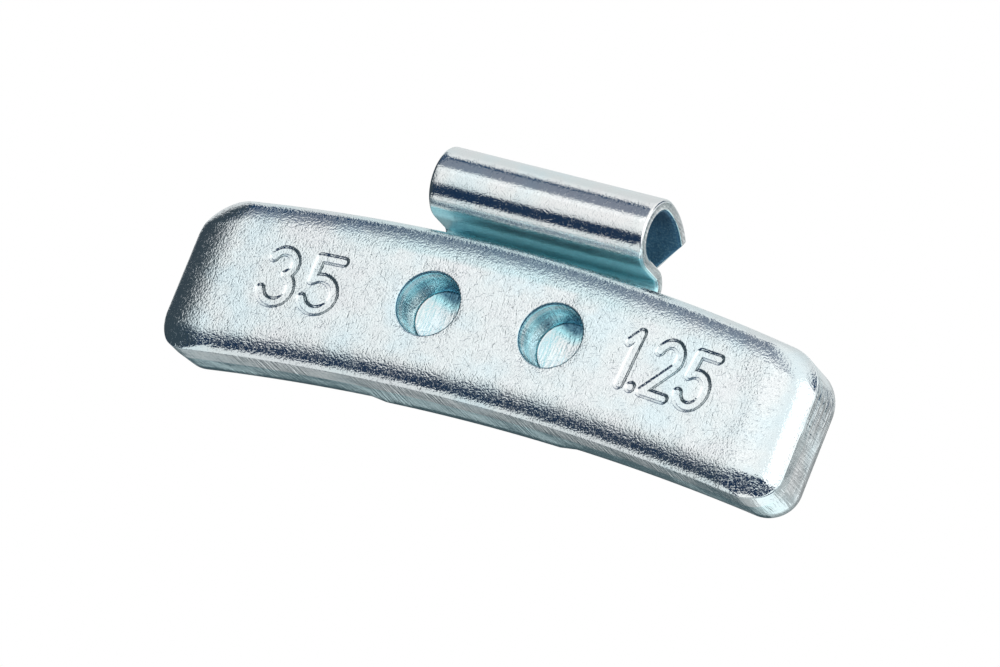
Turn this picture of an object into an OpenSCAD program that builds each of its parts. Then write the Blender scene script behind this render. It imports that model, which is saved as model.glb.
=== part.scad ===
// Clip-on wheel balance weight, 35 g: a pressed steel bar with a spring clip riveted to its back.
// X runs along the bar, the front face looks towards -Y and +Z points away from the wheel's centre.
// The origin is the middle of the hook's flat floor, on which the edge of the rim's flange sits.

/* [Bar] */
// Length of the bar from end to end
bar_length = 54.5; // [50:0.5:58]
// Height of the upper edge above the punch marks
upper_reach = 6.42; // [6:0.02:7]
// Depth of the lower edge below the punch marks
lower_reach = 6.62; // [6.2:0.02:7]
// Thickness from the front face to the flat back
bar_thickness = 5.9; // [5.8:0.05:7]
// Radius of the upper edge
upper_radius = 160; // [120:5:220]
// Place of the upper edge's highest point along the bar
upper_middle = -1.4; // [-2:0.1:2]
// Radius of the lower edge
lower_radius = 190; // [150:5:260]
// Radius of the two upper corners
upper_corner = 3.6; // [2.4:0.1:4.4]
// Radius of the two lower corners
lower_corner = 2.6; // [2:0.1:3.2]

/* [Front rounding] */
// Width of the rounding along the upper edge
upper_round_width = 2.4; // [1.6:0.1:3]
// Depth of its broad crown
upper_crown_depth = 0.6; // [0.3:0.05:0.8]
// Extra depth that it gains close to the sheared side
upper_edge_depth = 1.15; // [0.4:0.05:1.3]
// Width of the rounding at the two ends
end_round_width = 4.2; // [3:0.1:5]
// Depth of its broad crown
end_crown_depth = 0.85; // [0.5:0.05:1.1]
// Extra depth that it gains close to the sheared end
end_edge_depth = 0.95; // [0.5:0.05:1.2]
// Width of the rounding along the lower edge
lower_round_width = 1.95; // [1.4:0.05:2.4]
// Depth of its broad crown
lower_crown_depth = 0.78; // [0.4:0.02:0.9]
// Extra depth that it gains close to the sheared side
lower_edge_depth = 0.2; // [0:0.05:0.5]
// Radius of the upper corners of the flat front face
face_upper_corner = 4.4; // [2:0.1:4.5]
// Radius of the lower corners of the flat front face
face_lower_corner = 3.5; // [2:0.1:3.6]
// Share by which the rounding is deeper at the four corners
corner_gain = 0.3; // [0:0.05:0.5]

/* [Relief along the lower back edge] */
// Depth of the relieved band, measured from the flat back
relief_depth = 3; // [2:0.1:3.2]
// Height taken off at the flat back
relief_height = 0.24; // [0.1:0.02:0.5]
// Middle of the stretch that keeps its full height, from the middle of the bar
pad_middle = -0.9; // [-2:0.1:2]
// Half length of that stretch at the flat back
pad_half_back = 7.6; // [6:0.1:9]
// Half length of that stretch at the front of the band
pad_half_front = 9.3; // [8:0.1:11]
// Length of the ramp at each end of that stretch
pad_ramp = 1.4; // [0.5:0.1:2]

/* [Punch marks and rivets] */
// Distance between the two punch marks
punch_spacing = 10.8; // [10:0.1:12]
// Diameter of a punch mark at the front face
punch_rim = 5.2; // [4.6:0.1:5.6]
// Diameter of its floor
punch_floor = 4.56; // [4:0.02:5]
// Depth of its wall
punch_depth = 3.2; // [2:0.1:3.6]
// Extra depth of the dished floor at its middle
punch_dish = 0.7; // [0.3:0.1:1]
// Diameter of the rivet shank that the punch pushes out
shank_diameter = 4.4; // [4:0.1:5]
// Diameter of the flattened rivet head
head_diameter = 5.8; // [5.4:0.1:6.4]
// Height of the rivet head over the clip
head_height = 0.7; // [0.5:0.1:1]

/* [Clip] */
// Width of the spring strip
clip_width = 18.8; // [16:0.1:20]
// Thickness of the spring strip
strip = 1; // [0.8:0.05:1.2]
// Reach of the clip's base below the middle of the bar
base_drop = 5; // [4:0.1:5.6]
// Rounding of the base's lower corners
base_corner = 2; // [1:0.1:3]
// Height of the underside of the hook's floor above the middle of the bar
hook_floor = 7.65; // [7.4:0.05:8.4]
// Inner radius of the bend between the base and the hook's floor
neck_bend = 0.8; // [0.5:0.05:1]
// Outer radius of the hook's nose
nose_radius = 2.9; // [2.6:0.05:3.2]
// Distance of the nose's centre in front of the flat back
nose_forward = 2.9; // [2.4:0.1:3.2]
// Outer radius of the hook's roof
roof_radius = 8; // [6:0.5:10]
// Turn of the roof up to its tip
roof_sweep = 57.5; // [45:0.5:60]
// Width cut off each corner of the tip
tip_cut_width = 2.8; // [1:0.1:4]
// Length cut off each corner of the tip
tip_cut_length = 3.1; // [1:0.1:4]
// Clearance round a rivet shank in the clip
rivet_clearance = 0.05; // [0.02:0.01:0.1]

/* [Hidden] */
$fn = 64;

// Both pieces are drawn round the point of the bar's flat back behind the middle of its two punch
// marks and then moved to the origin
seat_y = -(nose_forward + neck_bend) / 2;
seat_z = hook_floor + strip;

upper_z = upper_reach - upper_radius;
lower_z = -lower_reach - lower_radius;

edge_steps = 26;
corner_steps = 9;
round_steps = 10;
relief_steps = 3;

// The crown and the edge of the rounding deepen towards the sheared side with these powers. The
// crown's are those of the upper edge, the ends and the lower edge
crown_power = [2, 2, 1.5];
edge_power = 9;

// Draws the rings closer together towards the sheared side
ring_spacing = 0.7;

// A point of the bar's outline is [x, z, a], where a is the way it faces, turned from +Z towards +X
function arc_point(x, z, r, a) = [x + r * sin(a), z + r * cos(a), a];
function arc_points(x, z, r, from, to, steps) =
    [for (i = [0:steps]) arc_point(x, z, r, from + (to - from) * i / steps)];

// Right half of an outline, from the top of its upper edge to the middle of its lower edge. It is
// drawn inwards from the bar's upper edge, end and lower edge, with its own two corner radii
function half_outline(top_x, upper_in, end_in, lower_in, upper_r, lower_r) =
    let(upper_arc = upper_radius - upper_in)
    let(lower_arc = lower_radius + lower_in)
    let(upper_x = bar_length / 2 - end_in - upper_r)
    let(lower_x = bar_length / 2 - end_in - lower_r)
    let(upper_turn = asin((upper_x - top_x) / (upper_arc - upper_r)))
    let(lower_turn = asin(lower_x / (lower_arc + lower_r)))
    let(upper_corner_z = upper_z + (upper_arc - upper_r) * cos(upper_turn))
    let(lower_corner_z = lower_z + (lower_arc + lower_r) * cos(lower_turn))
    concat(
        arc_points(top_x, upper_z, upper_arc, 0, upper_turn, edge_steps / 2),
        [for (i = [1:corner_steps])
            arc_point(upper_x, upper_corner_z, upper_r,
                upper_turn + (90 - upper_turn) * i / corner_steps)],
        arc_points(lower_x, lower_corner_z, lower_r, 90, 180 + lower_turn, corner_steps),
        [for (i = [1:edge_steps])
            let(turn = lower_turn * (1 - i / edge_steps))
            [lower_arc * sin(turn), lower_z + lower_arc * cos(turn), 180 + turn]]);

function closed_outline(upper_in, end_in, lower_in, upper_r, lower_r) =
    let(right = half_outline(upper_middle, upper_in, end_in, lower_in, upper_r, lower_r))
    let(left = half_outline(-upper_middle, upper_in, end_in, lower_in, upper_r, lower_r))
    concat(right, [for (i = [len(left) - 2:-1:1]) [-left[i][0], left[i][1], 360 - left[i][2]]]);

outline = closed_outline(0, 0, 0, upper_corner, lower_corner);
face_outline = closed_outline(upper_round_width, end_round_width, lower_round_width,
    face_upper_corner, face_lower_corner);

// Mixes the sizes of the upper edge, the ends and the lower edge by the way a that a point faces
function blend(a, upper, end, lower) =
    upper * pow(max(0, cos(a)), 2) + end * pow(sin(a), 2) + lower * pow(max(0, -cos(a)), 2);

// Outline point moved inwards and placed at a depth
function ring_point(p, inset, y) = [p[0] - inset * sin(p[2]), y, p[1] - inset * cos(p[2])];

// Ring of the front rounding, from the flat face (0) to the crease with the sheared side (1)
function round_ring(t) = [for (i = [0:len(outline) - 1])
    let(p = outline[i])
    let(q = face_outline[i])
    let(crown = blend(p[2], upper_crown_depth, end_crown_depth, lower_crown_depth))
    let(edge = blend(p[2], upper_edge_depth, end_edge_depth, lower_edge_depth))
    let(power = blend(p[2], crown_power[0], crown_power[1], crown_power[2]))
    let(gain = 1 + corner_gain * pow(sin(2 * p[2]), 2))
    let(drop = gain * (crown * pow(t, power) + edge * pow(t, edge_power)))
    [q[0] + (p[0] - q[0]) * t, drop - bar_thickness, q[1] + (p[1] - q[1]) * t]];

// 0 on the stretch that keeps its full height, 1 beyond its ramps
function off_pad(x, t) =
    let(half = pad_half_front + (pad_half_back - pad_half_front) * t)
    min(1, max(0, (abs(x - pad_middle) - half) / pad_ramp));

// Ring of the relieved band, from its front (0) to the flat back (1)
function relief_ring(t) = [for (p = outline)
    let(inset = relief_height * t * off_pad(p[0], t) * pow(max(0, -cos(p[2])), 2))
    ring_point(p, inset, -relief_depth * (1 - t))];

rings = concat(
    [for (i = [0:round_steps]) round_ring(pow(i / round_steps, ring_spacing))],
    [for (i = [0:relief_steps]) relief_ring(i / relief_steps)]);

// Closed skin through a list of rings that all have the same number of points
module skin(rings) {
    n = len(rings[0]);
    last = len(rings) - 1;
    walls = [for (r = [0:last - 1]) for (i = [0:n - 1])
        let(j = (i + 1) % n)
        each [[r * n + i, (r + 1) * n + j, r * n + j], [r * n + i, (r + 1) * n + i, (r + 1) * n + j]]];
    front = [for (i = [0:n - 1]) i];
    back = [for (i = [n - 1:-1:0]) last * n + i];
    polyhedron([for (ring = rings) for (p = ring) p], concat([front], walls, [back]));
}

// Moves what is drawn round the middle of the bar's back so that the hook's floor is at the origin
module from_seat() {
    translate([0, -seat_y, -seat_z]) children();
}

// Turns a shape made round Z so that its axis points along +Y
module along_y() {
    rotate([-90, 0, 0]) children();
}

module each_punch() {
    for (side = [-1, 1])
        translate([side * punch_spacing / 2, 0, 0])
            along_y() children();
}

// Space of one punch mark: a slightly tapered wall and a dished floor
module punch_space() {
    floor_r = punch_floor / 2;
    dish_r = (pow(floor_r, 2) + pow(punch_dish, 2)) / (2 * punch_dish);
    wall_slope = (punch_rim - punch_floor) / 2 / punch_depth;
    translate([0, 0, -bar_thickness])
        rotate_extrude() {
            polygon([
                [0, -1],
                [punch_rim / 2 + wall_slope, -1],
                [floor_r, punch_depth],
                [0, punch_depth]]);
            intersection() {
                translate([0, punch_depth + punch_dish - dish_r]) circle(dish_r);
                translate([0, punch_depth - 0.2]) square([floor_r, punch_dish + 0.4]);
            }
        }
}

// Rivet: a shank through the clip and a flattened head with a soft edge
module rivet() {
    edge = head_height * 0.6;
    translate([0, 0, -0.5]) cylinder(h = strip + 0.6, d = shank_diameter);
    translate([0, 0, strip]) {
        cylinder(h = head_height - edge, d = head_diameter);
        translate([0, 0, head_height - edge])
            cylinder(h = edge, d1 = head_diameter, d2 = head_diameter - 2 * edge);
    }
}

module weight_body() {
    color("lightsteelblue")
        from_seat() {
            difference() {
                skin(rings);
                each_punch() punch_space();
            }
            each_punch() rivet();
        }
}

// Middle line of the bent strip as [y, z, a], where a is the way its outer side faces,
// turned from +Z towards +Y: the base, the neck, the hook's floor, its nose and its roof
neck_middle = neck_bend + strip / 2;
nose_middle = nose_radius - strip / 2;
roof_middle = roof_radius - strip / 2;
nose_z = hook_floor + nose_radius;
roof_z = nose_z + nose_radius - roof_radius;
function sweep_points(y, z, r, from, to, steps) = [for (i = [0:steps])
    let(a = from + (to - from) * i / steps)
    [y + r * sin(a), z + r * cos(a), a]];

// Side line of the strip: the middle line moved by a distance towards the side that it faces
function base_side(d) = [[strip / 2 + d, -base_drop]];
function neck_side(d) =
    sweep_points(-neck_bend, hook_floor - neck_bend, neck_middle + d, 90, 0, 12);
function nose_side(d) = sweep_points(-nose_forward, nose_z, nose_middle - d, 180, 360, 32);
function roof_side(d) =
    sweep_points(-nose_forward, roof_z, roof_middle - d, 0, roof_sweep, 14);
function side_line(d) = [for (p = concat(base_side(d), neck_side(d), nose_side(d), roof_side(d)))
    [p[0], p[1]]];
function reversed(list) = [for (i = [len(list) - 1:-1:0]) list[i]];

// Extrudes a [y, z] outline along X, centred on the origin
module across(width) {
    rotate([90, 0, 90])
        translate([0, 0, -width / 2])
            linear_extrude(width) children();
}

// Wedge that takes one lower corner off the roof's tip, square to the strip
module tip_cut(side) {
    middle = roof_sweep - asin(tip_cut_length / 2 / roof_middle);
    out = 2;
    translate([side * clip_width / 2, roof_middle * sin(middle) - nose_forward,
               roof_z + roof_middle * cos(middle)])
        rotate([-middle, 0, 0])
            linear_extrude(4 * strip, center = true)
                polygon([
                    [0, -tip_cut_length / 2],
                    [side * out, -tip_cut_length / 2],
                    [side * out, tip_cut_length / 2 + out],
                    [-side * tip_cut_width * (1 + out / tip_cut_length), tip_cut_length / 2 + out]]);
}

// Takes the sharp lower corner off the base
module base_cut(side) {
    translate([side * (clip_width / 2 - base_corner), 0, base_corner - base_drop])
        rotate([-90, 0, 0])
            translate([0, 0, -strip])
                linear_extrude(3 * strip)
                    difference() {
                        translate([side > 0 ? 0 : -2 * base_corner, 0]) square(2 * base_corner);
                        circle(base_corner);
                    }
}

module clip() {
    color("silver")
        from_seat()
            difference() {
                across(clip_width)
                    polygon(concat(side_line(-strip / 2), reversed(side_line(strip / 2))));
                for (side = [-1, 1]) {
                    tip_cut(side);
                    base_cut(side);
                }
                each_punch()
                    translate([0, 0, -strip])
                        cylinder(h = 3 * strip, d = shank_diameter + 2 * rivet_clearance);
            }
}

weight_body();
clip();
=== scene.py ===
from math import asin, cos, pi, radians, sin, sqrt

import bmesh
import bpy
import numpy as np
from mathutils import Matrix, Vector
from mathutils.geometry import delaunay_2d_cdt


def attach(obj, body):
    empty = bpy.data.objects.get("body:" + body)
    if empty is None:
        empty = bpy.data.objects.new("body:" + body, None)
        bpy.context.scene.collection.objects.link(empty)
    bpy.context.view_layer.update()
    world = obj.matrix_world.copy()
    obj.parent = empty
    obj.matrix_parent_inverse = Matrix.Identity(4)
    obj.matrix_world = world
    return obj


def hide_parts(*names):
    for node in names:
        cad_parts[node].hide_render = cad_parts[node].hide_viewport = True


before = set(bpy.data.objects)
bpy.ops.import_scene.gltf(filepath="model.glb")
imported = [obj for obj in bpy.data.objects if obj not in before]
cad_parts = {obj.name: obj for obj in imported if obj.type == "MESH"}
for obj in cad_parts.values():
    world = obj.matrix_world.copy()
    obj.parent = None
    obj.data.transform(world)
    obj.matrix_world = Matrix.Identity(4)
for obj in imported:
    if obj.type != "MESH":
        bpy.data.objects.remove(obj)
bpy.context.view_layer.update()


# Camera: a long lens below the bar and to its right, rolled so that the bar falls to the right.
# The whole object is sharp in the photograph, so the lens has no depth of field.
MM = 0.001
view_target = Vector((-1.316, 0.987, -8.093)) * MM
view_distance = 758.43 * MM
view_azimuth = radians(28.04)
view_elevation = radians(-14.06)
view_roll = radians(21.98)
sensor_width = 36
lens_length = 357.42
nearest_seen = 10 * MM

away = Vector((sin(view_azimuth) * cos(view_elevation),
               -cos(view_azimuth) * cos(view_elevation),
               sin(view_elevation)))
level_right = Vector((cos(view_azimuth), sin(view_azimuth), 0))
level_up = away.cross(level_right)
image_right = level_right * cos(view_roll) + level_up * sin(view_roll)
image_up = level_up * cos(view_roll) - level_right * sin(view_roll)

camera_data = bpy.data.cameras.new("camera")
camera_data.sensor_width = sensor_width
camera_data.lens = lens_length
camera_data.clip_start = nearest_seen
camera = bpy.data.objects.new("camera", camera_data)
camera.matrix_world = Matrix.Translation(view_target + away * view_distance) @ Matrix(
    (image_right, image_up, away)).transposed().to_4x4()
bpy.context.scene.collection.objects.link(camera)
bpy.context.scene.camera = camera
bpy.context.scene.view_settings.view_transform = "Standard"


# Studio: a white room with long dark flags above, below and to the left of the object, and a
# white wall to its right. They draw the dark and light bands along the plated roundings.
def add_node(tree, kind, **settings):
    """Adds a node. A setting named in_0 or in_Scale fills that input, any other is a property."""
    made = tree.nodes.new(kind)
    inputs = {}
    for name, value in settings.items():
        if name.startswith("in_"):
            inputs[name[3:].replace("_", " ")] = value
        else:
            setattr(made, name, value)
    for name, value in inputs.items():
        socket = made.inputs[int(name)] if name.isdigit() else made.inputs[name]
        if isinstance(value, bpy.types.NodeSocket):
            tree.links.new(value, socket)
        else:
            socket.default_value = value
    return made


def direction(azimuth, elevation):
    """Unit vector towards an azimuth, from -Y towards +X, and an elevation, both in degrees."""
    a, e = radians(azimuth), radians(elevation)
    return (sin(a) * cos(e), -cos(a) * cos(e), sin(e))


def ranged(tree, value, low, high, to_low=0.0, to_high=1.0, **settings):
    """Adds a Map Range node from one range to another and returns its result."""
    return add_node(tree, "ShaderNodeMapRange", in_Value=value, in_1=low, in_2=high, in_3=to_low,
                    in_4=to_high, **settings).outputs[0]


room = bpy.data.worlds.new("white room")
room.use_nodes = True
bpy.context.scene.world = room
tree = room.node_tree
tree.nodes.clear()
towards = add_node(tree, "ShaderNodeTexCoord").outputs["Generated"]
height = add_node(tree, "ShaderNodeSeparateXYZ", in_0=towards).outputs["Z"]
ramp = add_node(tree, "ShaderNodeValToRGB", in_Fac=ranged(tree, height, -1.0, 1.0))

# The room's colours by height, from -1 straight below to 1 straight above
white_wall = (0.72, 0.765, 0.78, 1)
pale_wall = (0.76, 0.80, 0.81, 1)
ceiling = (0.88, 0.91, 0.92, 1)
upper_flag = (0.0, 0.038, 0.105, 1)
lower_flag = (0.012, 0.032, 0.075, 1)
bands = [(-0.79, pale_wall), (-0.75, lower_flag), (-0.39, lower_flag), (-0.33, white_wall),
         (0.41, white_wall), (0.48, upper_flag), (0.82, upper_flag), (0.86, ceiling)]
while len(ramp.color_ramp.elements) < len(bands):
    ramp.color_ramp.elements.new(0.5)
for element, (z, colour) in zip(ramp.color_ramp.elements, bands):
    element.position = (z + 1) / 2
    element.color = colour

# Walls that stand in the room, each over the ones before it: first those behind the object, then
# those in front, above and at its sides. A row is azimuth, elevation, half angle and soft edge, in
# degrees, and colour.
walls = [
    (180, 0, 40, 10, (0.47, 0.485, 0.49, 1)),
    (-153, -3, 7, 5, (0.08, 0.115, 0.13, 1)),
    (142, 20, 7, 4, (0.03, 0.07, 0.09, 1)),
    (162, 7, 6, 4, (1.0, 1.02, 1.02, 1)),
    (168, -27, 13, 9, (1.1, 1.12, 1.12, 1)),
    (-2, 3, 22, 12, (1.0, 1.02, 1.02, 1)),
    (48, 46, 28, 10, (0.98, 1.0, 1.0, 1)),
    (69, 12, 34, 6, (1.45, 1.46, 1.46, 1)),
    (-90, -4, 46, 13, (0.042, 0.062, 0.078, 1)),
    (-150, 48, 32, 10, (0.74, 0.78, 0.79, 1)),
]
colour = ramp.outputs["Color"]
for azimuth, elevation, half_angle, soft, wall_colour in walls:
    facing = add_node(tree, "ShaderNodeVectorMath", operation="DOT_PRODUCT", in_0=towards,
                      in_1=direction(azimuth, elevation)).outputs["Value"]
    mask = ranged(tree, facing, cos(radians(half_angle + soft)), cos(radians(half_angle)),
                  interpolation_type="SMOOTHSTEP")
    colour = add_node(tree, "ShaderNodeMix", data_type="RGBA", in_0=mask, in_6=colour,
                      in_7=wall_colour).outputs[2]

# The camera sees plain white behind the object
seen = add_node(tree, "ShaderNodeLightPath").outputs["Is Camera Ray"]
colour = add_node(tree, "ShaderNodeMix", data_type="RGBA", in_0=seen, in_6=colour,
                  in_7=(1, 1, 1, 1)).outputs[2]
light = add_node(tree, "ShaderNodeBackground", in_Color=colour)
add_node(tree, "ShaderNodeOutputWorld", in_Surface=light.outputs[0])

# The floor lies far below, and reflections show it evenly pale
floor_depth = 600 * MM
floor_radius = 490 * MM
floor_steps = 96
floor_colour = (0.84, 0.86, 0.88, 1)
floor_roughness = 0.9
floor_glow = (0.82, 0.87, 0.88, 1)

floor_mesh = bpy.data.meshes.new("floor")
shape = bmesh.new()
bmesh.ops.create_circle(shape, cap_ends=True, radius=floor_radius, segments=floor_steps,
                        matrix=Matrix.Translation((0, 0, -floor_depth)))
shape.to_mesh(floor_mesh)
shape.free()
floor = bpy.data.objects.new("floor", floor_mesh)
bpy.context.scene.collection.objects.link(floor)
floor_paint = bpy.data.materials.new("pale floor")
floor_paint.use_nodes = True
tree = floor_paint.node_tree
paint = tree.nodes["Principled BSDF"]
paint.inputs["Base Color"].default_value = floor_colour
paint.inputs["Roughness"].default_value = floor_roughness
ray = add_node(tree, "ShaderNodeLightPath").outputs
white = add_node(tree, "ShaderNodeEmission", in_Color=floor_glow)
lit = add_node(tree, "ShaderNodeMixShader", in_0=ray["Is Glossy Ray"], in_1=paint.outputs[0],
               in_2=white.outputs[0])
tree.links.new(lit.outputs[0], tree.nodes["Material Output"].inputs["Surface"])
floor_mesh.materials.append(floor_paint)

# Soft box: one large lamp above the object and to its left, towards the camera
box_azimuth = -20
box_elevation = 34
box_distance = 800
box_size = 600 * MM
box_watts = 0.25

lamp_data = bpy.data.lights.new("soft box", "AREA")
lamp_data.size = box_size
lamp_data.energy = box_watts
lamp = bpy.data.objects.new("soft box", lamp_data)
lamp_place = Vector(direction(box_azimuth, box_elevation)) * box_distance * MM
lamp.matrix_world = Matrix.Translation(lamp_place) @ lamp_place.to_track_quat(
    "Z", "Y").to_matrix().to_4x4()
bpy.context.scene.collection.objects.link(lamp)


# Weight: a steel bar blanked and pressed in one stroke, with a soft front and sheared sides.
# Two punches sink into its front and push out the shanks that are riveted over the clip.
bar_length = 54.5
bar_thickness = 5.9
upper_reach = 6.42
lower_reach = 6.62
upper_radius = 160.0
upper_middle = -1.4
lower_radius = 190.0
upper_corner = 3.6
lower_corner = 2.6

# Rounding of the front: a broad crown that ends in a sharper edge. Three values belong to the
# upper edge, the ends and the lower edge.
face_upper_corner = 4.4
face_lower_corner = 3.5
round_width = (2.4, 4.2, 1.95)
crown_depth = (0.6, 0.85, 0.78)
crown_power = (2.0, 2.0, 1.5)
edge_depth = (1.15, 0.95, 0.2)
edge_power = 9
corner_gain = 0.15
corner_dip = 0.9

# Lower side, cut back behind, apart from a pad in the middle whose ends slope
relief_depth = 3.0
relief_height = 0.24
pad_middle = -0.9
pad_half_front = 9.3
pad_half_back = 7.6
pad_ramp = 1.4
back_chamfer = 0.12

# Punch holes with a rolled rim, a tapered wall and a hollow floor, and the rivets behind them
punch_spacing = 10.8
punch_rim = 5.2
punch_floor = 4.56
punch_depth = 3.2
punch_dish = 0.16
punch_roll = 0.16
shank_diameter = 4.4
head_diameter = 5.8
head_height = 0.7
head_edge = 0.42
head_chamfer = (0.1, 0.12)
head_crown = 0.03
head_turns = np.linspace(0.15, 1, 9) * pi / 2
head_rings = (0.75, 0.5, 0.25)
strip = 1.0

# Rings of the mesh, as shares of the way over the rounding, the side and the cut-back band, then
# the counts of points along the outline and the gaps between the points of a flat face
round_rings = 27
last_round_ring = 0.985
round_crowding = 0.8
side_rings = (0.03, 0.25, 0.5, 0.75, 0.97)
relief_rings = (0, 0.03, 0.3, 0.65, 1 - back_chamfer / relief_depth)
edge_steps = 90
corner_steps = 24
end_steps = 18
circle_steps = 96
face_step = 0.9
face_gap = 0.3
back_gap = 0.4
back_band = 3 * back_chamfer
face_box = ((-bar_length / 2, -bar_length / 4), (bar_length / 2, upper_reach))
tiny = 1e-12
same_place = 1e-7

# The frame's origin is the hook's floor, and the bar is drawn round the middle of its flat back
hook_floor = 7.65
nose_forward = 2.9
neck_bend = 0.8
seat = np.array((0, (nose_forward + neck_bend) / 2, -(hook_floor + strip)))


def arc_points(centre, radius, start, end, steps):
    """Points [x, z, a] along an arc, where a is the way it faces, from +Z towards +X."""
    angles = np.linspace(start, end, steps + 1)
    return np.stack([centre[0] + radius * np.sin(angles),
                     centre[1] + radius * np.cos(angles), angles], 1)


def half_outline(shift, insets, corners):
    """Right half of the outline, clockwise from the middle of its upper edge, drawn inwards."""
    upper_in, end_in, lower_in = insets
    upper_r, lower_r = upper_radius - upper_in, lower_radius + lower_in
    upper_z = upper_reach - upper_radius
    lower_z = -lower_reach - lower_radius
    upper_x = bar_length / 2 - end_in - corners[0]
    lower_x = bar_length / 2 - end_in - corners[1]
    upper_turn = asin((upper_x - shift) / (upper_r - corners[0]))
    lower_turn = asin(lower_x / (lower_r + corners[1]))
    upper_centre = (upper_x, upper_z + (upper_r - corners[0]) * cos(upper_turn))
    lower_centre = (lower_x, lower_z + (lower_r + corners[1]) * cos(lower_turn))
    upper = arc_points((shift, upper_z), upper_r, 0, upper_turn, edge_steps)
    turn = arc_points(upper_centre, corners[0], upper_turn, pi / 2, corner_steps)
    ends = np.linspace(turn[-1], (turn[-1][0], lower_centre[1], pi / 2), end_steps)
    under = arc_points(lower_centre, corners[1], pi / 2, pi + lower_turn, corner_steps)
    lower = arc_points((0, lower_z), lower_r, lower_turn, 0, edge_steps)
    lower[:, 2] += pi
    return np.concatenate([upper, turn[1:], ends[1:], under[1:], lower[1:]])


def bar_outline(insets, corners):
    """Closed outline of the bar as [x, z, a]."""
    right = half_outline(upper_middle, insets, corners)
    left = half_outline(-upper_middle, insets, corners)
    return np.concatenate([right, left[-2:0:-1] * (-1, 1, -1) + (0, 0, 2 * pi)])


def blend(a, sizes):
    """Shares out the sizes of the upper edge, the ends and the lower edge by the way a faces."""
    upper, end, lower = sizes
    return (upper * np.maximum(0, np.cos(a)) ** 2 + end * np.sin(a) ** 2
            + lower * np.maximum(0, -np.cos(a)) ** 2)


def ring(outline, inset, y):
    """The outline moved inwards and placed at a depth, as points in space."""
    x, z, a = outline.T
    return np.stack([x - inset * np.sin(a), y + 0 * x, z - inset * np.cos(a)], 1)


def crown(points):
    """Depth of the broad crown at points of an outline, where the edges' crowns add up."""
    x, z = points[:, 0], points[:, 1]
    from_upper = upper_radius - np.hypot(x - upper_middle, z - upper_reach + upper_radius)
    from_end = bar_length / 2 - abs(x)
    from_lower = np.hypot(x, z + lower_reach + lower_radius) - lower_radius
    share = [np.clip(1 - gap / width, 0, 1)
             for gap, width in zip((from_upper, from_end, from_lower), round_width)]
    total = sum(depth * s ** power for depth, s, power in zip(crown_depth, share, crown_power))
    return total + corner_dip * share[1] * (share[0] + share[2])


def bar_rings():
    """Rings over the rounding, the sheared side, the relieved band and the back's chamfer."""
    outline = bar_outline((0, 0, 0), (upper_corner, lower_corner))
    face = bar_outline(round_width, (face_upper_corner, face_lower_corner))
    x, z, a = outline.T
    drop = (1 + corner_gain * np.sin(2 * a) ** 2) * (blend(a, crown_depth) + blend(a, edge_depth))
    rings = []
    for share in np.linspace(0, 1, round_rings - 1):
        t = last_round_ring * share ** round_crowding
        between = face + (outline - face) * t
        edge = (drop - crown(outline)) * t ** edge_power
        rings.append(ring(between, 0, crown(between) + edge - bar_thickness))
    crease = drop - bar_thickness
    rings.append(ring(outline, 0, crease))
    for t in side_rings:
        rings.append(ring(outline, 0, crease + (-relief_depth - crease) * t))
    for t in relief_rings:
        half = pad_half_front + (pad_half_back - pad_half_front) * t
        off_pad = np.clip((abs(x - pad_middle) - half) / pad_ramp, 0, 1)
        inset = relief_height * t * off_pad * np.maximum(0, -np.cos(a)) ** 2
        rings.append(ring(outline, inset, -relief_depth * (1 - t)))
    rings.append(ring(outline, inset + back_chamfer, 0))
    rings.append(ring(outline, inset + back_band, 0))
    return rings


def inside(points, loop):
    """Which points lie inside a closed loop, both in the plane of the face."""
    x, z = points[:, :1], points[:, 1:]
    x1, z1 = loop[:, 0], loop[:, 1]
    x2, z2 = np.roll(x1, -1), np.roll(z1, -1)
    rise = np.where(z2 == z1, tiny, z2 - z1)
    crossed = ((z1 > z) != (z2 > z)) & (x < (x2 - x1) * (z - z1) / rise + x1)
    return crossed.sum(1) % 2 == 1


def spread(points, loop, circles, gap):
    """Keeps the points that lie inside the loop and outside the circles, with a gap to each."""
    keep = inside(points, loop)
    near = np.array([np.min(np.hypot(*(loop - p).T)) for p in points[keep]])
    points = points[keep][near > gap]
    for centre, radius in circles:
        points = points[np.hypot(*(points - centre).T) > radius + gap]
    return points


def grid(low, high, step):
    """Points of a staggered grid over a rectangle."""
    xs = np.arange(low[0], high[0], step)
    zs = np.arange(low[1], high[1], step * sqrt(3) / 2)
    rows = [np.stack([xs + (i % 2) * step / 2, np.full(len(xs), z)], 1) for i, z in enumerate(zs)]
    return np.concatenate(rows)


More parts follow.
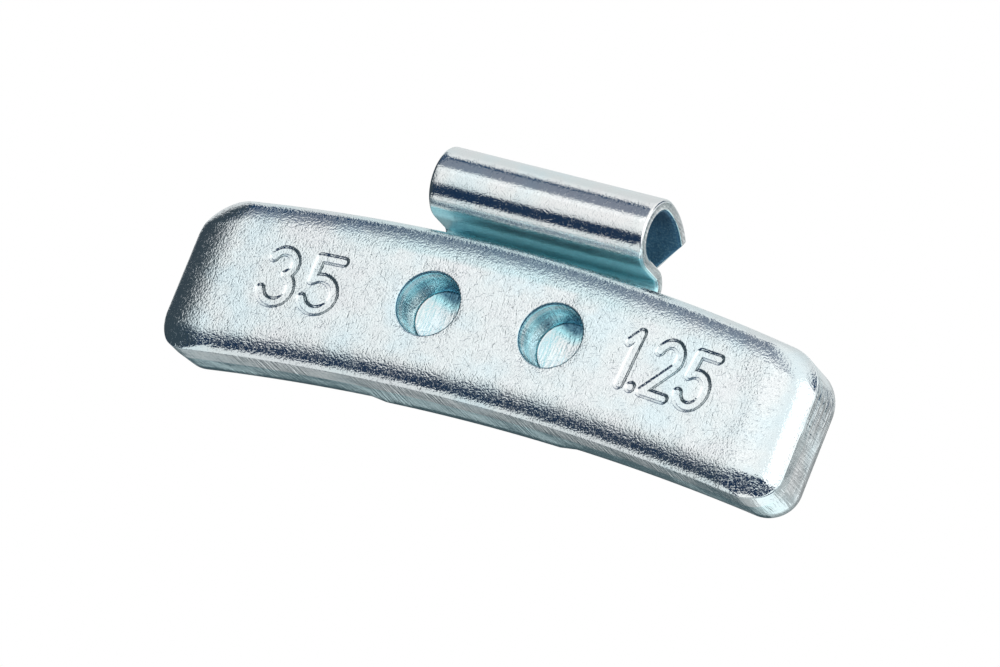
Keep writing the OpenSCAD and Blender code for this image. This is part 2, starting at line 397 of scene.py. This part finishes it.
class Skin:
    """Collects the points and faces of one closed skin."""

    def __init__(self):
        self.points = []
        self.faces = []
        self.marks = []

    def add(self, points, mark):
        """Adds points that all carry one finish mark and returns their numbers."""
        first = len(self.points)
        self.points.extend(map(tuple, points))
        self.marks.extend([mark] * len(points))
        return list(range(first, len(self.points)))

    def bridge(self, one, other):
        """Joins two loops of the same length with four-sided faces."""
        for i in range(len(one)):
            j = (i + 1) % len(one)
            self.faces.append((one[i], one[j], other[j], other[i]))

    def close(self, loop, point, mark):
        """Closes a loop on one point."""
        tip = self.add([point], mark)[0]
        for i in range(len(loop)):
            self.faces.append((loop[i], loop[(i + 1) % len(loop)], tip))

    def fill(self, loops, inner, y, mark, circles):
        """Fills a flat face between its outer loop and round holes, through inner points."""
        numbers = [n for loop in loops for n in loop]
        flat = [Vector((self.points[n][0], self.points[n][2])) for n in numbers]
        edges = []
        first = 0
        for loop in loops:
            edges += [(first + i, first + (i + 1) % len(loop)) for i in range(len(loop))]
            first += len(loop)
        numbers += self.add([(p[0], y, p[1]) for p in inner], mark)
        flat += [Vector(p) for p in inner]
        made = delaunay_2d_cdt(flat, edges, [], 1, same_place)
        places, triangles, origins = made[0], made[2], made[3]
        for triangle in triangles:
            middle = sum((places[i] for i in triangle), Vector((0, 0))) / 3
            if all((middle - Vector(c)).length > r for c, r in circles):
                self.faces.append(tuple(numbers[origins[i][0]] for i in triangle))

    def mesh(self, name):
        """Writes the skin as a mesh with its faces outwards and its finish as an attribute."""
        places = (np.array(self.points) + seat) * MM
        made = bpy.data.meshes.new(name)
        made.from_pydata(places.tolist(), [], self.faces)
        for i, layer in enumerate(finish_layers):
            finish = made.attributes.new(layer, "FLOAT", "POINT")
            finish.data.foreach_set("value", [mark[i] for mark in self.marks])
        shape = bmesh.new()
        shape.from_mesh(made)
        bmesh.ops.recalc_face_normals(shape, faces=shape.faces)
        shape.to_mesh(made)
        shape.free()
        made.polygons.foreach_set("use_smooth", [True] * len(made.polygons))
        return made


def circle_points(centre, radius, y, count=circle_steps):
    """Points of a circle in the plane of the face."""
    turns = np.arange(count) * 2 * pi / count
    return np.stack([centre[0] + radius * np.sin(turns), y + 0 * turns,
                     centre[1] + radius * np.cos(turns)], 1)


# Finish of a point: how far it is drawn by a tool, how much painted shade it takes, a deeper and
# darker blue where shade falls, and how coarse its grain is. The last is a scrape on drawn metal.
finish_layers = ("drawn", "painted_shade", "coarse")
PRESSED = (0.0, 0.0, 0.0)
ROUNDED = (0.0, 0.0, 1.0)
SHEARED = (1.0, 0.06, 0.0)
PUNCH_FLOOR = (0.4, 0.0, 0.3)

# Painted shade in the holes: the rim is painted a deep blue past a part of its turn, and the wall
# is painted in darker and paler bands by the share of its depth, painted shade and painted
# highlight.
# The floor has a dark patch of painted shade in its upper part that narrows to the sides.
rim_rings = 7
rim_painted_shade = 0.95
rim_painted_shade_turn = 0.7
wall_rings = 22
wall_end_gaps = (0.1, 0.06)
wall_shares = (0.08, 0.15, 0.25, 0.38, 0.5, 0.68, 0.93, 1)
wall_shade_bands = (0.66, 0.05, 0.12, 0.62, 0.5, 0.22, 0.26, 0.85)
floor_rings = 16
floor_ring_shares = (0.985, 0.08)
patch_painted_shade = 0.92
patch_edge = (0.2, 0.7)
patch_middle = 0.3
patch_slant = 0.35

front_y = -bar_thickness
centres = [(-punch_spacing / 2, 0.0), (punch_spacing / 2, 0.0)]
punch_wall = (punch_rim - punch_floor) / 2 / punch_depth


def punch_profile():
    """[radius, y, finish] from the rolled rim down the wall and over the slightly hollow floor."""
    profile = []
    for turn in np.linspace(0, pi / 2, rim_rings):
        profile.append((punch_rim / 2 + punch_roll * (1 - sin(turn)),
                        front_y + punch_roll * (1 - cos(turn)),
                        (0.0, rim_painted_shade * (turn > rim_painted_shade_turn), 1.0)))
    first, last = punch_roll + wall_end_gaps[0], punch_depth - wall_end_gaps[1]
    for depth in np.linspace(first, last, wall_rings):
        # Painted shade and painted highlight in bands down the wall
        painted_shade = np.interp(depth / punch_depth, wall_shares, wall_shade_bands)
        profile.append((punch_rim / 2 - punch_wall * depth, front_y + depth, (1.0, painted_shade, 0.0)))
    for share in np.linspace(*floor_ring_shares, floor_rings):
        profile.append((punch_floor / 2 * share,
                        front_y + punch_depth + punch_dish * (1 - share ** 2), PUNCH_FLOOR))
    return profile


def floor_finish(x, z):
    """Finish of a punch floor with its dark patch of painted shade."""
    sideways = min((x - centre[0] for centre in centres), key=abs)
    up = (z - patch_slant * abs(sideways - patch_middle)) / (punch_floor / 2)
    return (PUNCH_FLOOR[0], np.interp(up, patch_edge, (0, patch_painted_shade)), PUNCH_FLOOR[2])


def rivet_profile():
    """[radius, y, finish] from the shank through the clip and over the flattened head."""
    head = head_diameter / 2
    profile = [(shank_diameter / 2, 0), (shank_diameter / 2, strip),
               (head - head_chamfer[0], strip), (head, strip + head_chamfer[1])]
    for turn in head_turns:
        profile.append((head - head_edge + head_edge * cos(turn),
                        strip + head_height - head_edge + head_edge * sin(turn)))
    for share in head_rings:
        profile.append(((head - head_edge) * share,
                        strip + head_height + head_crown * (1 - share)))
    return [(radius, y, PRESSED) for radius, y in profile]


# The stamped marks are plain numbers, the mass in grams and in ounces, as strokes on the face.
# The mesh of the face is fine in a block round each number.
mark_height = 4.3
stroke_width = 0.68
stamp_depth = 0.16
stamp_soft = 0.15
mark_step = 0.058
mark_margin = 0.12
mark_clearance = 0.1
path_step = 0.1
arc_step = 8
mark_blocks = (((-21, -5), (-12, 4)), ((10, -5), (22, 4)))


def stroke_arc(x, z, radius, start, end):
    """Points along an arc in degrees, from +X towards +Z."""
    turns = np.radians(np.linspace(start, end, 2 + int(abs(end - start) / arc_step)))
    return [(x + radius * cos(t), z + radius * sin(t)) for t in turns]


def digit_strokes(digit):
    """Middle lines of a digit's strokes on the base line, and its width. A point has no width."""
    top = mark_height
    if digit == "1":
        return [[(0, top - 0.9), (0.75, top), (0.75, 0)]], 0.75
    if digit == "2":
        bowl = stroke_arc(1.15, top - 1.15, 1.15, 165, -38)
        return [bowl + [(0, 0), (2.4, 0)]], 2.4
    if digit == "3":
        upper = stroke_arc(1.15, top - 1.02, 1.02, 160, -62)
        lower = stroke_arc(1.1, 1.25, 1.25, 62, -165)
        return [upper + lower], 2.35
    if digit == "5":
        bowl = stroke_arc(1.05, 1.35, 1.35, 128, -158)
        return [[(2.35, top), (0.35, top), (0.22, 2.42)] + bowl], 2.4
    return [[(0, 0.02), (0, 0.1)]], 0.0


def number_strokes(text, x, z, turn, gap, width=1.0):
    """Strokes of a number whose middle is at x, z and whose base line is turned, in degrees."""
    placed = []
    pen = 0.0
    for digit in text:
        strokes, size = digit_strokes(digit)
        placed += [[(pen + px * width, pz) for px, pz in stroke] for stroke in strokes]
        pen += size * width + gap
    middle = (pen - gap) / 2
    c, s = cos(radians(turn)), sin(radians(turn))
    return [[(x + (px - middle) * c - (pz - mark_height / 2) * s,
              z + (px - middle) * s + (pz - mark_height / 2) * c) for px, pz in stroke]
            for stroke in placed]


marks = (number_strokes("35", x=-16.4, z=-0.8, turn=3, gap=1.4)
         + number_strokes("1.25", x=15.6, z=-0.4, turn=-4, gap=1.0, width=0.82))


def dense(stroke, step):
    """The stroke with points no further apart than a step."""
    points = [stroke[0]]
    for a, b in zip(stroke, stroke[1:]):
        count = max(1, int(np.hypot(b[0] - a[0], b[1] - a[1]) / step))
        points += [tuple(np.array(a) + (np.array(b) - a) * (i + 1) / count) for i in range(count)]
    return points


def front_points(loop, circles):
    """Points inside the front face: a coarse grid, and a fine one along the stamped strokes."""
    reach = stroke_width / 2 + stamp_soft + mark_margin
    path = np.array([p for stroke in marks for p in dense(stroke, path_step)])
    coarse = spread(grid(*face_box, face_step), loop, circles, face_gap)
    away_from_marks = np.array([np.min(np.hypot(*(path - p).T)) for p in coarse])
    coarse = coarse[away_from_marks > reach + mark_clearance]
    fine = []
    for low, high in mark_blocks:
        block = grid(low, high, mark_step)
        near = np.array([np.min(np.hypot(*(path - p).T)) for p in block])
        fine.append(block[near < reach])
    return np.concatenate([coarse] + fine)


# Finish along the bar: the upper edge has a little painted shade, bluer, under the hook, the right
# end is scraped, the cut-back band has painted shade in blue, and the face grows coarser to the
# left
hook_painted_shade = 0.15
hook_reach = (9.0, 16.0)
end_band = 0.6
scrape_middle = 0.6
scrape_reach = 2.6
relief_painted_shade = 0.3
coarse_left = (-18, -6)
coarse_most = 0.5


def ring_finish(i, point, a):
    """Finish of a point on ring i, counted from the front, where the outline faces a."""
    x, _, z = point
    if i < round_rings - 1:
        under_hook = np.interp(abs(x), hook_reach, (1, 0))
        return (0.0, hook_painted_shade * under_hook * max(0, cos(a)) ** 2, 1.0)
    drawn, painted_shade, scrape = SHEARED
    if i > round_rings + len(side_rings):
        painted_shade = relief_painted_shade * max(0, -cos(a)) ** 2
    if x > bar_length / 2 - end_band:
        scrape = max(0, 1 - ((z - scrape_middle) / scrape_reach) ** 2)
    return (drawn, painted_shade, scrape)


skin = Skin()
rings = bar_rings()
facing = bar_outline((0, 0, 0), (upper_corner, lower_corner))[:, 2]
numbers = [skin.add(points, ROUNDED) for points in rings]
for one, other in zip(numbers, numbers[1:]):
    skin.bridge(one, other)
for i, loop in enumerate(numbers[:-1]):
    for n, a in zip(loop, facing):
        skin.marks[n] = ring_finish(i, skin.points[n], a)
front_loops, back_loops = [numbers[0]], [numbers[-1]]
for centre in centres:
    for profile, loops, tip in (
            (punch_profile(), front_loops, front_y + punch_depth + punch_dish),
            (rivet_profile(), back_loops, strip + head_height + head_crown)):
        turned = [skin.add(circle_points(centre, r, y), mark) for r, y, mark in profile]
        for one, other in zip(turned, turned[1:]):
            skin.bridge(one, other)
        skin.close(turned[-1], (centre[0], tip, centre[1]), profile[-1][2])
        loops.append(turned[0])
front_circles = [(c, punch_rim / 2 + punch_roll) for c in centres]
back_circles = [(c, shank_diameter / 2) for c in centres]
skin.fill(front_loops, front_points(rings[0][:, ::2], front_circles), front_y, PRESSED,
          front_circles)
for n, (x, y, z) in enumerate(skin.points):
    if skin.marks[n] == PUNCH_FLOOR:
        skin.marks[n] = floor_finish(x, z)
    elif skin.marks[n] == PRESSED and y < 0:
        skin.marks[n] = (0.0, 0.0, np.interp(x, coarse_left, (coarse_most, 0)))
back_grid = grid(*face_box, face_step * 2)
skin.fill(back_loops, spread(back_grid, rings[-1][:, ::2], back_circles, back_gap), 0, PRESSED,
          back_circles)


def drawn_lines(name, lines):
    """Object with a curve through the points of each line, in straight pieces."""
    curve = bpy.data.curves.new(name, "CURVE")
    curve.dimensions = "3D"
    for points in lines:
        spline = curve.splines.new("POLY")
        spline.points.add(len(points) - 1)
        for point, place in zip(spline.points, points):
            point.co = (*((np.array(place) + seat) * MM), 1)
    made = bpy.data.objects.new(name, curve)
    bpy.context.scene.collection.objects.link(made)
    return made


strokes = drawn_lines("stamp strokes",
                      [[(x, front_y, z) for x, z in stroke] for stroke in marks])


def tree_input(tree, name, kind):
    """Adds a named input to a Geometry Nodes tree and returns its identifier."""
    return tree.interface.new_socket(name, in_out="INPUT", socket_type=kind).identifier


def end_tree(tree, geometry, material):
    """Ends a Geometry Nodes tree with Realize Instances and Set Material."""
    tree.interface.new_socket("Geometry", in_out="OUTPUT", socket_type="NodeSocketGeometry")
    realized = add_node(tree, "GeometryNodeRealizeInstances", in_0=geometry)
    painted = add_node(tree, "GeometryNodeSetMaterial", in_Geometry=realized.outputs[0],
                       in_Material=material)
    add_node(tree, "NodeGroupOutput", in_0=painted.outputs[0])


def applied(name, mesh, tree, values):
    """Runs a Geometry Nodes tree on a mesh and returns a plain object with its result."""
    source = bpy.data.objects.new(name + " blank", mesh)
    bpy.context.scene.collection.objects.link(source)
    modifier = source.modifiers.new("shape", "NODES")
    modifier.node_group = tree
    for identifier, value in values.items():
        modifier[identifier] = value
    bpy.context.view_layer.update()
    graph = bpy.context.evaluated_depsgraph_get()
    result = bpy.data.meshes.new_from_object(source.evaluated_get(graph))
    bpy.data.objects.remove(source)
    piece = bpy.data.objects.new(name, result)
    bpy.context.scene.collection.objects.link(piece)
    return piece


def maths(tree, operation, *values):
    """Adds a Math node for its values and returns its result."""
    inputs = {f"in_{i}": value for i, value in enumerate(values)}
    return add_node(tree, "ShaderNodeMath", operation=operation, **inputs).outputs[0]


def noise(tree, place, scale, detail):
    """Adds a noise pattern, with its scale in repeats per metre, and returns its value."""
    return add_node(tree, "ShaderNodeTexNoise", in_Vector=place, in_Scale=scale,
                    in_Detail=detail).outputs[0]


def turned_place(tree, place, turn, stretch, **settings):
    """Turns a pattern's place by three angles in degrees, stretches it and returns it."""
    return add_node(tree, "ShaderNodeMapping", in_Vector=place,
                    in_Rotation=tuple(radians(angle) for angle in turn), in_Scale=stretch,
                    **settings).outputs[0]


# Zinc plate over bare steel: pale blue-white, finely pitted from the barrel and lightly scratched.
# A lift is how much of the grain a pattern raises, and an edge is where its noise begins to show
# and where it is full. The other pairs hold the least and the most.
middle_noise = (0.3, 0.7)
wave_lift = 0.4
pit_lift = (0.3, 0.6)
tear_edge = (0.5, 0.58)
tear_lift = (0.7, 3.0)
patch_lift = 5.0
scrape_lift = 6.0
scratch_edge = (0.68, 0.78)
scratch_lift = -0.1
scratches = [(35, 6200.0), (82, 5300.0), (128, 5800.0), (170, 6600.0)]
cloud_edges = (0.36, 0.64)
cloud_tints = [(0.93, 1.0, 1.03), (1.0, 1.0, 1.0), (1.02, 0.985, 0.99)]
half_shade_blue = (0.57, 0.94, 1.0, 1)
full_shade_blue = (0.06, 0.17, 0.28, 1)
blue_middle = 0.5
speck_shades = (0.93, 1.07)
speck_edge = (0.58, 0.68)
speck_matte = (0.15, 0.3)
painted_shade_matte = 0.38
polish_range = (-0.04, 0.06)


def zinc(name, tint, grain, polish):
    """Plated steel, with its grain in millimetres and its polish as the middle roughness."""
    made = bpy.data.materials.new(name)
    made.use_nodes = True
    tree = made.node_tree
    shader = tree.nodes["Principled BSDF"]
    shader.inputs["Metallic"].default_value = 1.0
    place = add_node(tree, "ShaderNodeTexCoord").outputs["Object"]
    drawn, painted_shade, coarse = [
        add_node(tree, "ShaderNodeAttribute", attribute_name=layer).outputs["Fac"]
        for layer in finish_layers]

    # Pits from the tumbling barrel, over wider waves
    pits = noise(tree, place, scale=6400.0, detail=1.0)
    waves = noise(tree, place, scale=1300.0, detail=1.0)
    pitted = maths(tree, "MULTIPLY_ADD", waves, wave_lift, pits)
    pitted = maths(tree, "MULTIPLY", pitted, ranged(tree, coarse, 0.0, 1.0, *pit_lift))

    # Leaning lines of the shear, deeper where the metal tore, and a scrape across the coarse parts
    leaning = turned_place(tree, place, turn=(0, 0, 28), stretch=(1, 0.07, 1))
    lines = noise(tree, leaning, scale=5200.0, detail=2.0)
    patches = noise(tree, place, scale=190.0, detail=2.0)
    lines = maths(tree, "MULTIPLY", maths(tree, "SUBTRACT", lines, 0.5),
                  ranged(tree, patches, *tear_edge, *tear_lift))
    lines = maths(tree, "MULTIPLY_ADD", patches, patch_lift, lines)
    scraped = turned_place(tree, place, turn=(-32, 0, 0), stretch=(1, 1, 0.09))
    scraped = maths(tree, "MULTIPLY", noise(tree, scraped, scale=3400.0, detail=1.0), coarse)
    lines = maths(tree, "MULTIPLY_ADD", scraped, scrape_lift, lines)
    relief = add_node(tree, "ShaderNodeMix", data_type="FLOAT", in_0=drawn, in_2=pitted,
                      in_3=lines).outputs[0]

    # Short scratches in four directions, each with its own scale
    for turn, scale in scratches:
        along = turned_place(tree, place, turn=(0, turn, 0), stretch=(3.8, 1.3, 1),
                             vector_type="TEXTURE")
        streaks = noise(tree, along, scale=scale, detail=0.0)
        relief = maths(tree, "ADD", relief, ranged(tree, streaks, *scratch_edge, 0.0, scratch_lift))
    bump = add_node(tree, "ShaderNodeBump", in_Height=relief, in_Strength=1.0,
                    in_Distance=grain * MM)
    tree.links.new(bump.outputs[0], shader.inputs["Normal"])

    # Clouds of tint, and painted shade: a deeper and darker blue where the points carry painted
    # shade
    clouds = noise(tree, place, scale=210.0, detail=3.0)
    tints = add_node(tree, "ShaderNodeValToRGB", in_Fac=clouds)
    stops = tints.color_ramp.elements
    stops[0].position, stops[1].position = cloud_edges
    stops.new(0.5)
    for stop, shift in zip(stops, cloud_tints):
        stop.color = (*[min(1, t * s) for t, s in zip(tint, shift)], 1)
    mottled_shade = maths(tree, "MULTIPLY", painted_shade, ranged(tree, pits, *middle_noise, *speck_shades))
    blues = add_node(tree, "ShaderNodeValToRGB", in_Fac=mottled_shade)
    stops = blues.color_ramp.elements
    stops[0].position = blue_middle
    stops[0].color, stops[1].color = half_shade_blue, full_shade_blue
    plated = add_node(tree, "ShaderNodeMix", data_type="RGBA",
                      in_0=ranged(tree, mottled_shade, 0.0, blue_middle),
                      in_6=tints.outputs["Color"], in_7=blues.outputs["Color"]).outputs[2]
    tree.links.new(plated, shader.inputs["Base Color"])

    # Roughness follows the waves, with matte specks and a more matte painted shade where no tool
    # has drawn the metal
    matte = ranged(tree, pits, *speck_edge, 0.0, ranged(tree, coarse, 0.0, 1.0, *speck_matte))
    matte = maths(tree, "MULTIPLY_ADD", painted_shade, painted_shade_matte, matte)
    rough = maths(tree, "MULTIPLY_ADD", matte, maths(tree, "SUBTRACT", 1.0, drawn),
                  ranged(tree, waves, *middle_noise, *[polish + part for part in polish_range]))
    tree.links.new(rough, shader.inputs["Roughness"])
    return made


# The numbers are pressed into the face by their distance from the strokes
just_behind = 0.001
stamp = bpy.data.node_groups.new("stamp numbers", "GeometryNodeTree")
stamp.is_modifier = True
tree_input(stamp, "Bar", "NodeSocketGeometry")
strokes_in = tree_input(stamp, "Strokes", "NodeSocketObject")
width_in = tree_input(stamp, "Stroke width", "NodeSocketFloat")
soft_in = tree_input(stamp, "Wall softness", "NodeSocketFloat")
depth_in = tree_input(stamp, "Stamp depth", "NodeSocketFloat")
face_in = tree_input(stamp, "Front face", "NodeSocketFloat")
material_in = tree_input(stamp, "Plating", "NodeSocketMaterial")
given = add_node(stamp, "NodeGroupInput").outputs
lines = add_node(stamp, "GeometryNodeObjectInfo", in_Object=given["Strokes"])
lines = add_node(stamp, "GeometryNodeCurveToMesh", in_Curve=lines.outputs["Geometry"])
distance = add_node(stamp, "GeometryNodeProximity", target_element="EDGES",
                    in_0=lines.outputs[0]).outputs["Distance"]
half = maths(stamp, "MULTIPLY", given["Stroke width"], 0.5)
outer = maths(stamp, "ADD", half, given["Wall softness"])
inner = maths(stamp, "SUBTRACT", half, given["Wall softness"])
sunk = ranged(stamp, distance, outer, inner, 0.0, given["Stamp depth"],
              interpolation_type="SMOOTHSTEP")
position = add_node(stamp, "GeometryNodeInputPosition").outputs[0]
depth_now = add_node(stamp, "ShaderNodeSeparateXYZ", in_0=position).outputs["Y"]
on_face = add_node(stamp, "FunctionNodeCompare", operation="LESS_THAN", in_0=depth_now,
                   in_1=given["Front face"]).outputs[0]
offset = add_node(stamp, "ShaderNodeCombineXYZ", in_Y=sunk).outputs[0]
stamped = add_node(stamp, "GeometryNodeSetPosition", in_Geometry=given["Bar"],
                   in_Selection=on_face, in_Offset=offset)
end_tree(stamp, stamped.outputs[0], given["Plating"])

bar_zinc = zinc("barrel-plated zinc", tint=(0.84, 0.88, 0.885), grain=0.05, polish=0.13)
bar = applied("bar", skin.mesh("bar"), stamp, {
    strokes_in: strokes,
    width_in: stroke_width * MM,
    soft_in: stamp_soft * MM,
    depth_in: stamp_depth * MM,
    face_in: (front_y + seat[1] + just_behind) * MM,
    material_in: bar_zinc,
})
bpy.data.objects.remove(strokes)
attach(bar, "root")
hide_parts("weight_body")


# Clip: one strip of spring steel, blanked flat, folded over the rim's flange and plated.
# Its base lies on the bar's back, held by the two rivets, and its hook springs over the flange.
# Sizes of the strip and its bends come first, then the steps of its mesh.
clip_width = 18.8
base_drop = 5.0
base_corner = 2.0
nose_radius = 2.9
roof_radius = 8.0
roof_sweep = radians(57.5)
tip_cut_width = 2.8
tip_cut_length = 3.1
rivet_clearance = 0.05
edge_round = 0.24
edge_band = 3 * edge_round
fold_turn = radians(1.5)
clip_step = 0.16
clip_cross_step = 0.8
clip_gap = 0.1
bottom_points = 14
corner_points = 26
cut_points = 20
tip_points = 14
hole_points = 48
round_points = 5

neck_middle = neck_bend + strip / 2
nose_middle = nose_radius - strip / 2
roof_middle = roof_radius - strip / 2
nose_z = hook_floor + nose_radius
roof_z = nose_z + nose_radius - roof_radius


def fold_line():
    """Middle line [y, z] of the folded strip: base, neck, floor, nose and roof."""
    line = [(strip / 2, -base_drop)]
    for y, z, r, start, end in (
            (-neck_bend, hook_floor - neck_bend, neck_middle, pi / 2, 0),
            (-nose_forward, nose_z, nose_middle, pi, 2 * pi),
            (-nose_forward, roof_z, roof_middle, 0, roof_sweep)):
        turns = np.linspace(start, end, 2 + int(abs(end - start) / fold_turn))
        line += [(y + r * sin(t), z + r * cos(t)) for t in turns]
    return line


line = fold_line()
strip_length = sum(np.hypot(b[0] - a[0], b[1] - a[1]) for a, b in zip(line, line[1:]))


def blank_outline(inset):
    """Outline [x, s] of the flat blank drawn inwards, where s runs from the base to the tip."""
    side, length = clip_width / 2, strip_length
    slope = np.hypot(tip_cut_width, tip_cut_length)
    cut_start = length - tip_cut_length - inset * (slope - tip_cut_length) / tip_cut_width
    tip_half = side - tip_cut_width - inset * (slope - tip_cut_width) / tip_cut_length
    corner = arc_points((side - base_corner, base_corner), base_corner - inset, pi, pi / 2,
                        corner_points)
    rows = int((length - tip_cut_length - base_corner) / clip_step)
    bottom = np.linspace((0, inset), (side - base_corner, inset), bottom_points)
    straight = np.linspace((side - inset, base_corner), (side - inset, cut_start), rows)
    cut = np.linspace((side - inset, cut_start), (tip_half, length - inset), cut_points)
    tip = np.linspace((tip_half, length - inset), (0, length - inset), tip_points)
    half = np.concatenate([bottom, corner[1:, :2], straight[1:], cut[1:], tip[1:]])
    return np.concatenate([half, half[-2:0:-1] * (-1, 1)])


def blank_loop(inset, depth):
    """The blank's outline drawn inwards at a depth, as points."""
    x, s = blank_outline(inset).T
    return np.stack([x, depth + 0 * x, s], 1)


# Faces of the blank, in strip thicknesses from its middle: the near one lies on the bar and shows
# under the hook, the far one bears the rivet heads and becomes the inside of the hook
near_face, far_face = -0.5, 0.5


def clip_blank():
    """Flat blank with softened edges and two rivet holes: x, depth, distance along the fold."""
    plate = Skin()
    profile = [(edge_band, near_face), (edge_round, near_face)]
    for turn in np.linspace(0, pi / 2, round_points)[1:]:
        profile.append((edge_round * (1 - sin(turn)), near_face + edge_round * (1 - cos(turn))))
    profile += [(0, 0)] + [(inset, -depth) for inset, depth in profile[::-1]]
    loops = [plate.add(blank_loop(inset, depth), SHEARED if inset == 0 else PRESSED)
             for inset, depth in profile]
    for one, other in zip(loops, loops[1:]):
        plate.bridge(one, other)
    radius = shank_diameter / 2 + rivet_clearance
    circles = [((x, base_drop), radius) for x, _ in centres]
    near_loops, far_loops = [loops[0]], [loops[-1]]
    for hole, _ in circles:
        walls = [plate.add(circle_points(hole, radius, depth, hole_points), SHEARED)
                 for depth in (near_face, 0, far_face)]
        plate.bridge(walls[0], walls[1])
        plate.bridge(walls[1], walls[2])
        near_loops.append(walls[0])
        far_loops.append(walls[2])
    xs = np.arange(-clip_width / 2, clip_width / 2, clip_cross_step)
    rows = np.arange(clip_step, strip_length, clip_step)
    inner = np.stack(np.meshgrid(xs, rows), -1).reshape(-1, 2)
    inner = spread(inner, blank_outline(edge_band), circles, clip_gap)
    plate.fill(near_loops, inner, near_face, PRESSED, circles)
    plate.fill(far_loops, inner, far_face, PRESSED, circles)
    return plate


fold = drawn_lines("fold line", [[(0, y, z) for y, z in line]])

folding = bpy.data.node_groups.new("fold strip", "GeometryNodeTree")
folding.is_modifier = True
tree_input(folding, "Blank", "NodeSocketGeometry")
fold_in = tree_input(folding, "Fold line", "NodeSocketObject")
thickness_in = tree_input(folding, "Strip thickness", "NodeSocketFloat")
clip_material_in = tree_input(folding, "Plating", "NodeSocketMaterial")
given = add_node(folding, "NodeGroupInput").outputs
path = add_node(folding, "GeometryNodeObjectInfo", in_Object=given["Fold line"])
flat = add_node(folding, "GeometryNodeInputPosition").outputs[0]
flat = add_node(folding, "ShaderNodeSeparateXYZ", in_0=flat).outputs
sample = add_node(folding, "GeometryNodeSampleCurve", mode="LENGTH",
                  in_Curves=path.outputs["Geometry"], in_Length=flat["Z"]).outputs
outward = add_node(folding, "ShaderNodeVectorMath", operation="CROSS_PRODUCT",
                   in_0=sample["Tangent"], in_1=(1, 0, 0)).outputs[0]
outward = add_node(folding, "ShaderNodeVectorMath", operation="NORMALIZE",
                   in_0=outward).outputs[0]
lift = maths(folding, "MULTIPLY", flat["Y"], given["Strip thickness"])
outward = add_node(folding, "ShaderNodeVectorMath", operation="SCALE", in_0=outward,
                   in_Scale=lift).outputs[0]
folded = add_node(folding, "ShaderNodeVectorMath", operation="ADD", in_0=sample["Position"],
                  in_1=outward).outputs[0]
across = add_node(folding, "ShaderNodeCombineXYZ", in_X=flat["X"]).outputs[0]
folded = add_node(folding, "ShaderNodeVectorMath", operation="ADD", in_0=folded,
                  in_1=across).outputs[0]
bent = add_node(folding, "GeometryNodeSetPosition", in_Geometry=given["Blank"],
                in_Position=folded)
end_tree(folding, bent.outputs[0], given["Plating"])

# Painted shade: the neck under the hook is painted a darker blue, and the inside of the hook is
# painted darkest
neck_start = base_drop + hook_floor - neck_bend
nose_start = neck_start + neck_middle * pi / 2 + nose_forward - neck_bend
under_start = neck_start - 2
under_end = nose_start + 1.2
wall_depth = 0.3
inside_painted_shade = 1.0
under_hook_painted_shade = 0.55

blank = clip_blank()
places = np.array(blank.points)
for i, (_, depth, s) in enumerate(places):
    if depth > wall_depth and s > nose_start:
        blank.marks[i] = (blank.marks[i][0], inside_painted_shade, 0.0)
    elif depth < -wall_depth and under_start < s < under_end:
        blank.marks[i] = (blank.marks[i][0], under_hook_painted_shade, 0.0)

# The folding takes the blank lying at the origin, with its depth still in strip thicknesses
places[:, 1] /= MM
blank.points = list(map(tuple, places - seat))
clip_zinc = zinc("plated spring steel", tint=(0.855, 0.875, 0.87), grain=0.028, polish=0.11)
clip = applied("spring_clip", blank.mesh("spring_clip"), folding, {
    fold_in: fold,
    thickness_in: strip * MM,
    clip_material_in: clip_zinc,
})
bpy.data.objects.remove(fold)
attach(clip, "root")
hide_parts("clip")
